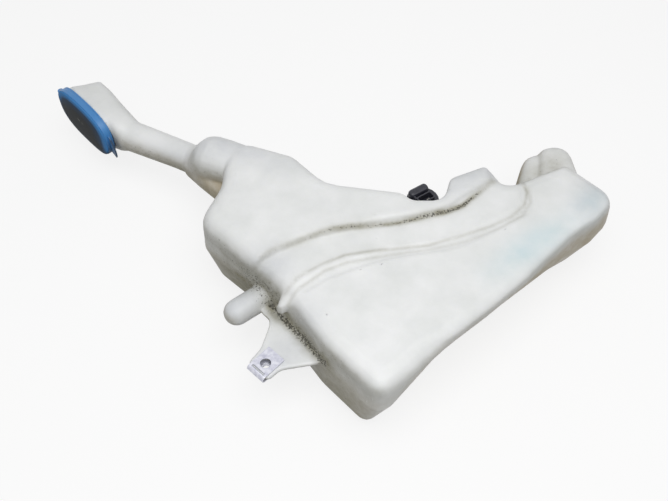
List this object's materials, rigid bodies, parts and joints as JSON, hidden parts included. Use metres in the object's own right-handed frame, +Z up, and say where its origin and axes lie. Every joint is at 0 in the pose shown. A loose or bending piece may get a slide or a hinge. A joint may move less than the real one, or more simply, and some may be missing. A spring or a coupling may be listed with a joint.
{
  "type": "washer fluid reservoir",
  "caption": "Blow-moulded washer fluid tank with a long filler neck, hinged oval flip cap, locating peg, fixing ear with a spring nut, and an electric pump in a notch.",
  "frame": {"origin": "middle of the object's box, on the flat back face it rests on", "axes": "+Z up through the tank's thickness (out of its front face), +X along its length away from the filler"},
  "size_m": [0.4958, 0.3358, 0.089],
  "materials": {
    "tank_plastic": "translucent off-white, stained and dusty",
    "cap_blue": "moulded, light satin",
    "cap_black": "moulded, matt",
    "pump_black": "moulded, satin",
    "rubber": "matt",
    "spring_steel": "plated, dulled and dirty",
    "pin_steel": "ground",
    "can_steel": "drawn, plated",
    "ferrite": "sintered",
    "core_steel": "stacked sheets",
    "copper": "turned copper",
    "carbon": "pressed carbon",
    "tin": "tinned sheet",
    "impeller_plastic": "natural moulded"
  },
  "bodies": {
    "tank": {"tank_shell": "tank_plastic", "cap_collar": "cap_blue", "ear_clip_nut": "spring_steel", "pump_grommet": "rubber", "pump_inlet_screen": "impeller_plastic", "pump_volute": "pump_black", "pump_bearing_plate": "pump_black", "pump_shaft_seal": "rubber", "pump_housing": "pump_black", "pump_motor_can": "can_steel", "pump_magnet_1": "ferrite", "pump_magnet_2": "ferrite", "pump_brush_1": "carbon", "pump_brush_2": "carbon", "pump_brush_holder": "pump_black", "pump_top_cap": "pump_black", "pump_terminal_1": "tin", "pump_terminal_2": "tin"},
    "cap": {"cap_lid": "cap_blue", "cap_lid_panel": "cap_black", "cap_lid_seal": "rubber", "cap_hinge_pin": "pin_steel"},
    "pump_rotor": {"pump_shaft": "pin_steel", "pump_armature": "core_steel", "pump_commutator": "copper", "pump_impeller": "impeller_plastic"}
  },
  "joints": [
    {"name": "cap_hinge", "type": "hinge", "parent": "tank", "child": "cap", "pos_m": [-0.24508, 0.16008, 0.05], "axis": [0, 0, -1], "range_deg": [0, 110]},
    {"name": "pump_rotor_spin", "type": "hinge", "parent": "tank", "child": "pump_rotor", "pos_m": [0.09005, 0.02256, 0.0268], "axis": [0, 0, 1], "continuous": true}
  ]
}
